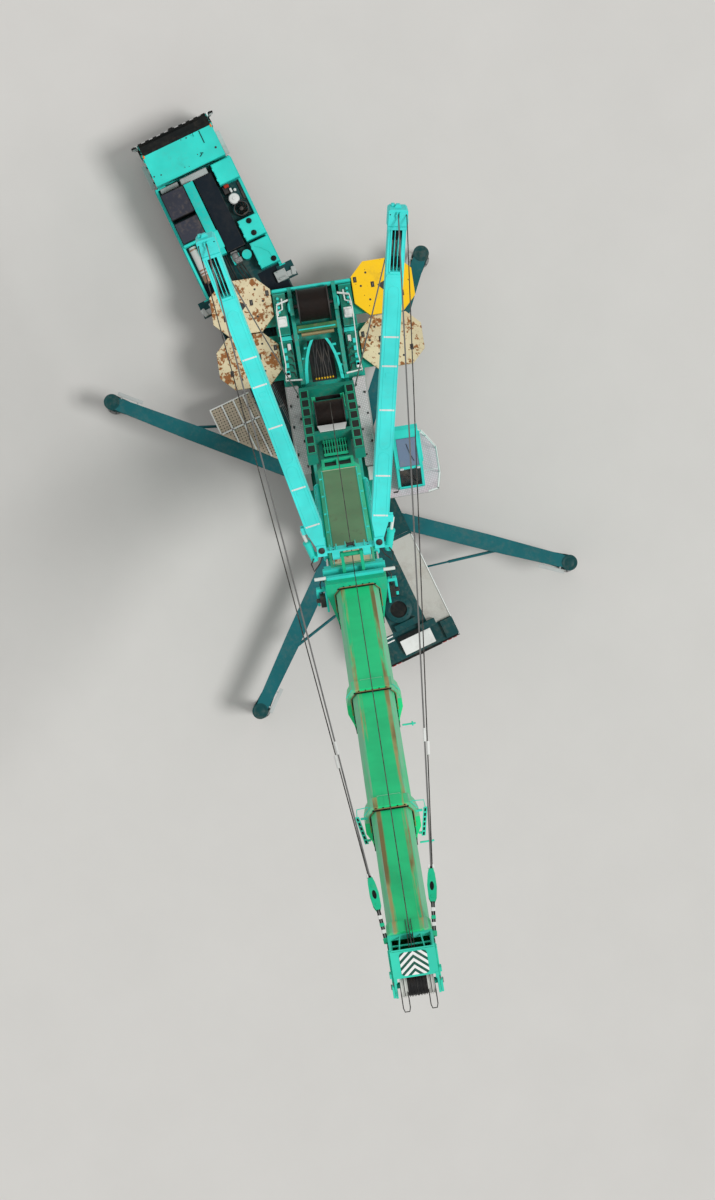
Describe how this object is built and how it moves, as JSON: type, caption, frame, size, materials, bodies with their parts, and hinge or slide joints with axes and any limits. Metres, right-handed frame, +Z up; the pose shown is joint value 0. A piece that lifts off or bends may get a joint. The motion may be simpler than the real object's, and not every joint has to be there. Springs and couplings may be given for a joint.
{
  "type": "telescopic mobile crane",
  "caption": "Mobile crane on a long multi-axle carrier, standing on swing-out outriggers, with a telescopic boom raised over its rear and two spread guying masts.",
  "frame": {"origin": "on the ground under the slewing axis", "axes": "+X towards the carrier's driver's cab, +Y to the carrier's left, +Z up"},
  "size_m": [28.3946, 12.94, 35.6217],
  "materials": {
    "turquoise_paint": "gloss",
    "green_paint": "satin",
    "teal_paint": "satin",
    "black_paint": "satin",
    "grey_paint": "satin",
    "deck_paint": "matte",
    "slab_paint": "satin",
    "bright_steel": "satin",
    "tyre": "matte"
  },
  "bodies": {
    "carrier": {"chassis": "teal_paint", "deck": "deck_paint", "carrier_cab": "turquoise_paint", "engine": "black_paint", "power_pack": "turquoise_paint", "axles": "black_paint", "end_fittings": "black_paint", "swing_cylinders": "teal_paint"},
    "driver_door_left": {"cab_door_left": "turquoise_paint"},
    "driver_door_right": {"cab_door_right": "turquoise_paint"},
    "folding_platform": {"side_platform": "deck_paint"},
    "beam_front_left": {"outrigger_front_left": "teal_paint"},
    "leg_front_left": {"jack_front_left": "bright_steel"},
    "beam_front_right": {"outrigger_front_right": "teal_paint"},
    "leg_front_right": {"jack_front_right": "bright_steel"},
    "beam_rear_left": {"outrigger_rear_left": "teal_paint"},
    "leg_rear_left": {"jack_rear_left": "bright_steel"},
    "beam_rear_right": {"outrigger_rear_right": "teal_paint"},
    "leg_rear_right": {"jack_rear_right": "bright_steel"},
    "wheel_1_left": {"wheel_1_left": "tyre"},
    "knuckle_1_left": {"knuckle_1_left": "black_paint"},
    "wheel_1_right": {"wheel_1_right": "tyre"},
    "knuckle_1_right": {"knuckle_1_right": "black_paint"},
    "wheel_2_left": {"wheel_2_left": "tyre"},
    "knuckle_2_left": {"knuckle_2_left": "black_paint"},
    "wheel_2_right": {"wheel_2_right": "tyre"},
    "knuckle_2_right": {"knuckle_2_right": "black_paint"},
    "wheel_3_left": {"wheel_3_left": "tyre"},
    "wheel_3_right": {"wheel_3_right": "tyre"},
    "wheel_4_left": {"wheel_4_left": "tyre"},
    "wheel_4_right": {"wheel_4_right": "tyre"},
    "wheel_5_left": {"wheel_5_left": "tyre"},
    "wheel_5_right": {"wheel_5_right": "tyre"},
    "wheel_6_left": {"wheel_6_left": "tyre"},
    "wheel_6_right": {"wheel_6_right": "tyre"},
    "wheel_7_left": {"wheel_7_left": "tyre"},
    "wheel_7_right": {"wheel_7_right": "tyre"},
    "wheel_8_left": {"wheel_8_left": "tyre"},
    "wheel_8_right": {"wheel_8_right": "tyre"},
    "wheel_9_left": {"wheel_9_left": "tyre"},
    "wheel_9_right": {"wheel_9_right": "tyre"},
    "superstructure": {"turntable": "turquoise_paint", "upper_fittings": "grey_paint", "ballast": "slab_paint"},
    "rear_winch": {"rear_drum": "black_paint"},
    "operator_cabin": {"operator_cab": "turquoise_paint"},
    "operator_cabin_door": {"operator_door": "turquoise_paint"},
    "boom": {"boom_base": "green_paint", "stays": "bright_steel"},
    "boom_tube_1": {"boom_section_1": "green_paint"},
    "boom_tube_2": {"boom_section_2": "green_paint"},
    "boom_tube_3": {"boom_section_3": "green_paint", "boom_head": "turquoise_paint"},
    "sheave_set": {"head_sheaves": "black_paint"},
    "boom_winch": {"front_drum": "black_paint"},
    "lift_barrel": {"lift_barrel": "turquoise_paint"},
    "lift_rod": {"lift_rod": "bright_steel"},
    "mast_cradle": {"mast_frame": "turquoise_paint"},
    "mast_left": {"mast_left": "turquoise_paint"},
    "mast_right": {"mast_right": "turquoise_paint"}
  },
  "joints": [
    {"name": "driver_door_left_hinge", "type": "hinge", "parent": "carrier", "child": "driver_door_left", "pos_m": [13.504, 1.376, 2], "axis": [0, 0, -1], "range_deg": [0, 70]},
    {"name": "driver_door_right_hinge", "type": "hinge", "parent": "carrier", "child": "driver_door_right", "pos_m": [13.504, -1.376, 2], "axis": [0, 0, 1], "range_deg": [0, 70]},
    {"name": "platform_fold", "type": "hinge", "parent": "carrier", "child": "folding_platform", "pos_m": [3, 1.53, 2.23], "axis": [1, 0, 0], "range_deg": [0, 90]},
    {"name": "front_left_swing", "type": "hinge", "parent": "carrier", "child": "beam_front_left", "pos_m": [0.9, 1.15, 1.95], "axis": [0, 0, 1], "range_deg": [-43.6, 0]},
    {"name": "front_left_jack", "type": "slide", "parent": "beam_front_left", "child": "leg_front_left", "axis": [0, 0, -1], "range_m": [-0.45, 0.25]},
    {"name": "front_right_swing", "type": "hinge", "parent": "carrier", "child": "beam_front_right", "pos_m": [0.9, -1.15, 1.95], "axis": [0, 0, -1], "range_deg": [-43.6, 0]},
    {"name": "front_right_jack", "type": "slide", "parent": "beam_front_right", "child": "leg_front_right", "axis": [0, 0, -1], "range_m": [-0.45, 0.25]},
    {"name": "rear_left_swing", "type": "hinge", "parent": "carrier", "child": "beam_rear_left", "pos_m": [-2, 1.15, 1.95], "axis": [0, 0, -1], "range_deg": [-50.32, 0]},
    {"name": "rear_left_jack", "type": "slide", "parent": "beam_rear_left", "child": "leg_rear_left", "axis": [0, 0, -1], "range_m": [-0.45, 0.25]},
    {"name": "rear_right_swing", "type": "hinge", "parent": "carrier", "child": "beam_rear_right", "pos_m": [-2, -1.15, 1.95], "axis": [0, 0, 1], "range_deg": [-50.32, 0]},
    {"name": "rear_right_jack", "type": "slide", "parent": "beam_rear_right", "child": "leg_rear_right", "axis": [0, 0, -1], "range_m": [-0.45, 0.25]},
    {"name": "steer_1_left", "type": "hinge", "parent": "carrier", "child": "knuckle_1_left", "pos_m": [11.75, 0.93, 0.805], "axis": [0, 0, 1], "range_deg": [-25, 25]},
    {"name": "wheel_1_left_spin", "type": "hinge", "parent": "knuckle_1_left", "child": "wheel_1_left", "pos_m": [11.75, 1.2775, 0.805], "axis": [0, 1, 0], "continuous": true},
    {"name": "steer_1_right", "type": "hinge", "parent": "carrier", "child": "knuckle_1_right", "pos_m": [11.75, -0.93, 0.805], "axis": [0, 0, 1], "range_deg": [-25, 25]},
    {"name": "wheel_1_right_spin", "type": "hinge", "parent": "knuckle_1_right", "child": "wheel_1_right", "pos_m": [11.75, -1.2775, 0.805], "axis": [0, 1, 0], "continuous": true},
    {"name": "steer_2_left", "type": "hinge", "parent": "carrier", "child": "knuckle_2_left", "pos_m": [10.05, 0.93, 0.805], "axis": [0, 0, 1], "range_deg": [-22, 22]},
    {"name": "wheel_2_left_spin", "type": "hinge", "parent": "knuckle_2_left", "child": "wheel_2_left", "pos_m": [10.05, 1.2775, 0.805], "axis": [0, 1, 0], "continuous": true},
    {"name": "steer_2_right", "type": "hinge", "parent": "carrier", "child": "knuckle_2_right", "pos_m": [10.05, -0.93, 0.805], "axis": [0, 0, 1], "range_deg": [-22, 22]},
    {"name": "wheel_2_right_spin", "type": "hinge", "parent": "knuckle_2_right", "child": "wheel_2_right", "pos_m": [10.05, -1.2775, 0.805], "axis": [0, 1, 0], "continuous": true},
    {"name": "wheel_3_left_spin", "type": "hinge", "parent": "carrier", "child": "wheel_3_left", "pos_m": [7.1, 1.2775, 0.805], "axis": [0, 1, 0], "continuous": true},
    {"name": "wheel_3_right_spin", "type": "hinge", "parent": "carrier", "child": "wheel_3_right", "pos_m": [7.1, -1.2775, 0.805], "axis": [0, 1, 0], "continuous": true},
    {"name": "wheel_4_left_spin", "type": "hinge", "parent": "carrier", "child": "wheel_4_left", "pos_m": [5.4, 1.2775, 0.805], "axis": [0, 1, 0], "continuous": true},
    {"name": "wheel_4_right_spin", "type": "hinge", "parent": "carrier", "child": "wheel_4_right", "pos_m": [5.4, -1.2775, 0.805], "axis": [0, 1, 0], "continuous": true},
    {"name": "wheel_5_left_spin", "type": "hinge", "parent": "carrier", "child": "wheel_5_left", "pos_m": [3.7, 1.2775, 0.805], "axis": [0, 1, 0], "continuous": true},
    {"name": "wheel_5_right_spin", "type": "hinge", "parent": "carrier", "child": "wheel_5_right", "pos_m": [3.7, -1.2775, 0.805], "axis": [0, 1, 0], "continuous": true},
    {"name": "wheel_6_left_spin", "type": "hinge", "parent": "carrier", "child": "wheel_6_left", "pos_m": [2, 1.2775, 0.805], "axis": [0, 1, 0], "continuous": true},
    {"name": "wheel_6_right_spin", "type": "hinge", "parent": "carrier", "child": "wheel_6_right", "pos_m": [2, -1.2775, 0.805], "axis": [0, 1, 0], "continuous": true},
    {"name": "wheel_7_left_spin", "type": "hinge", "parent": "carrier", "child": "wheel_7_left", "pos_m": [-1.7, 1.2775, 0.805], "axis": [0, 1, 0], "continuous": true},
    {"name": "wheel_7_right_spin", "type": "hinge", "parent": "carrier", "child": "wheel_7_right", "pos_m": [-1.7, -1.2775, 0.805], "axis": [0, 1, 0], "continuous": true},
    {"name": "wheel_8_left_spin", "type": "hinge", "parent": "carrier", "child": "wheel_8_left", "pos_m": [-3.4, 1.2775, 0.805], "axis": [0, 1, 0], "continuous": true},
    {"name": "wheel_8_right_spin", "type": "hinge", "parent": "carrier", "child": "wheel_8_right", "pos_m": [-3.4, -1.2775, 0.805], "axis": [0, 1, 0], "continuous": true},
    {"name": "wheel_9_left_spin", "type": "hinge", "parent": "carrier", "child": "wheel_9_left", "pos_m": [-5.1, 1.2775, 0.805], "axis": [0, 1, 0], "continuous": true},
    {"name": "wheel_9_right_spin", "type": "hinge", "parent": "carrier", "child": "wheel_9_right", "pos_m": [-5.1, -1.2775, 0.805], "axis": [0, 1, 0], "continuous": true},
    {"name": "slew", "type": "hinge", "parent": "carrier", "child": "superstructure", "pos_m": [0, 0, 2.4], "axis": [0, 0, 1], "continuous": true},
    {"name": "rear_winch_spin", "type": "hinge", "parent": "superstructure", "child": "rear_winch", "pos_m": [6.06297, -1.85364, 3.4], "axis": [-0.2924, -0.9563, 0], "continuous": true},
    {"name": "operator_cabin_tilt", "type": "hinge", "parent": "superstructure", "child": "operator_cabin", "pos_m": [0.79837, -2.82694, 2.6403], "axis": [0.2924, 0.9563, 0], "range_deg": [0, 20]},
    {"name": "operator_door_slide", "type": "slide", "parent": "operator_cabin", "child": "operator_cabin_door", "axis": [0.9563, -0.2924, 0], "range_m": [0, 0.8]},
    {"name": "luff", "type": "hinge", "parent": "superstructure", "child": "boom", "pos_m": [2.06562, -0.63152, 3.97], "axis": [0.2924, 0.9563, 0], "range_deg": [-62, 20]},
    {"name": "telescope_1", "type": "slide", "parent": "boom", "child": "boom_tube_1", "axis": [-0.449, 0.1373, 0.8829], "range_m": [-5.9, 5.2]},
    {"name": "telescope_2", "type": "slide", "parent": "boom_tube_1", "child": "boom_tube_2", "axis": [-0.449, 0.1373, 0.8829], "range_m": [-5.9, 5.2]},
    {"name": "telescope_3", "type": "slide", "parent": "boom_tube_2", "child": "boom_tube_3", "axis": [-0.449, 0.1373, 0.8829], "range_m": [-5.5, 5.2]},
    {"name": "head_sheave_spin", "type": "hinge", "parent": "boom_tube_3", "child": "sheave_set", "pos_m": [-13.64804, 4.17263, 34.87343], "axis": [-0.2924, -0.9563, 0], "continuous": true},
    {"name": "boom_winch_spin", "type": "hinge", "parent": "boom", "child": "boom_winch", "pos_m": [2.05099, -0.62705, 8.15238], "axis": [-0.2924, -0.9563, 0], "continuous": true},
    {"name": "lift_barrel_swing", "type": "hinge", "parent": "superstructure", "child": "lift_barrel", "pos_m": [0.57378, -0.17542, 2.96], "axis": [0.2924, 0.9563, 0], "range_deg": [-65.3, 21.2]},
    {"name": "lift_rod_stroke", "type": "slide", "parent": "lift_barrel", "child": "lift_rod", "axis": [-0.3584, 0.1096, 0.9271], "range_m": [-1.834, 0.595]},
    {"name": "mast_fold", "type": "hinge", "parent": "boom", "child": "mast_cradle", "pos_m": [-2.67378, 0.81746, 17.8704], "axis": [-0.2924, -0.9563, 0], "range_deg": [-90, 10], "deforming": ["stays"]},
    {"name": "mast_left_spread", "type": "hinge", "parent": "mast_cradle", "child": "mast_left", "pos_m": [-2.59917, -0.14648, 18.05819], "axis": [0.449, -0.1373, -0.8829], "range_deg": [-10.5, 9.5]},
    {"name": "mast_right_spread", "type": "hinge", "parent": "mast_cradle", "child": "mast_right", "pos_m": [-2.0729, 1.57487, 18.05819], "axis": [-0.449, 0.1373, 0.8829], "range_deg": [-10.5, 9.5]}
  ],
  "couplings": [
    {"joint": "steer_1_right", "follows": "steer_1_left", "ratio": 1},
    {"joint": "steer_2_left", "follows": "steer_1_left", "ratio": 0.86},
    {"joint": "steer_2_right", "follows": "steer_1_left", "ratio": 0.86},
    {"joint": "lift_barrel_swing", "follows": "luff", "ratio": 1.05},
    {"joint": "lift_rod_stroke", "follows": "luff", "m_per_rad": 1.6902}
  ]
}
